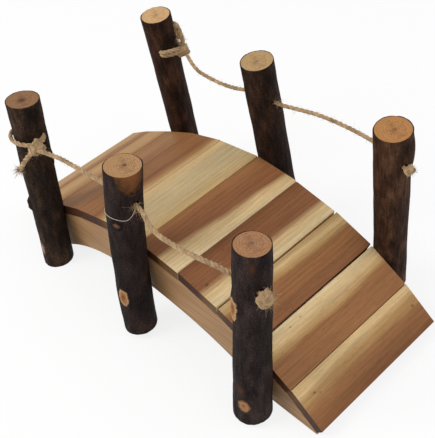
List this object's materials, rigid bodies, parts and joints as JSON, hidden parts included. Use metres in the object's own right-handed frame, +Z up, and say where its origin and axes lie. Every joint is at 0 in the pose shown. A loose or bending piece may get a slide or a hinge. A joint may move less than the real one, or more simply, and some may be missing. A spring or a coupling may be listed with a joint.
{
  "type": "toy footbridge",
  "caption": "Small arched wooden toy footbridge with crosswise deck boards, round twig posts with bark, and slack knotted twine handrails.",
  "frame": {"origin": "on the ground, below the middle of the bridge's length and width", "axes": "+X along the bridge towards its right end, +Y across the bridge to the far handrail, +Z up"},
  "size_m": [0.282, 0.1523, 0.138],
  "materials": {
    "deck_wood": "planed and sanded, unvarnished, brown heartwood and cream sapwood in stripes",
    "stringer_wood": "sawn and sanded, unvarnished",
    "bark": "dry dark bark, with sawn pale ends",
    "jute_twine": "twisted natural fibre, hairy"
  },
  "bodies": {
    "root": {"deck_board_1": "deck_wood", "deck_board_2": "deck_wood", "deck_board_3": "deck_wood", "deck_board_4": "deck_wood", "deck_board_5": "deck_wood", "deck_board_6": "deck_wood", "deck_board_7": "deck_wood", "deck_board_8": "deck_wood", "deck_board_9": "deck_wood", "deck_board_10": "deck_wood", "stringer_near": "stringer_wood", "stringer_far": "stringer_wood", "post_near_left": "bark", "post_near_mid": "bark", "post_near_right": "bark", "post_far_left": "bark", "post_far_mid": "bark", "post_far_right": "bark", "rail_twine_near": "jute_twine", "rail_twine_far": "jute_twine", "knot_near_left": "jute_twine", "knot_far_left": "jute_twine", "knot_near_right": "jute_twine", "knot_far_right": "jute_twine"}
  },
  "joints": []
}
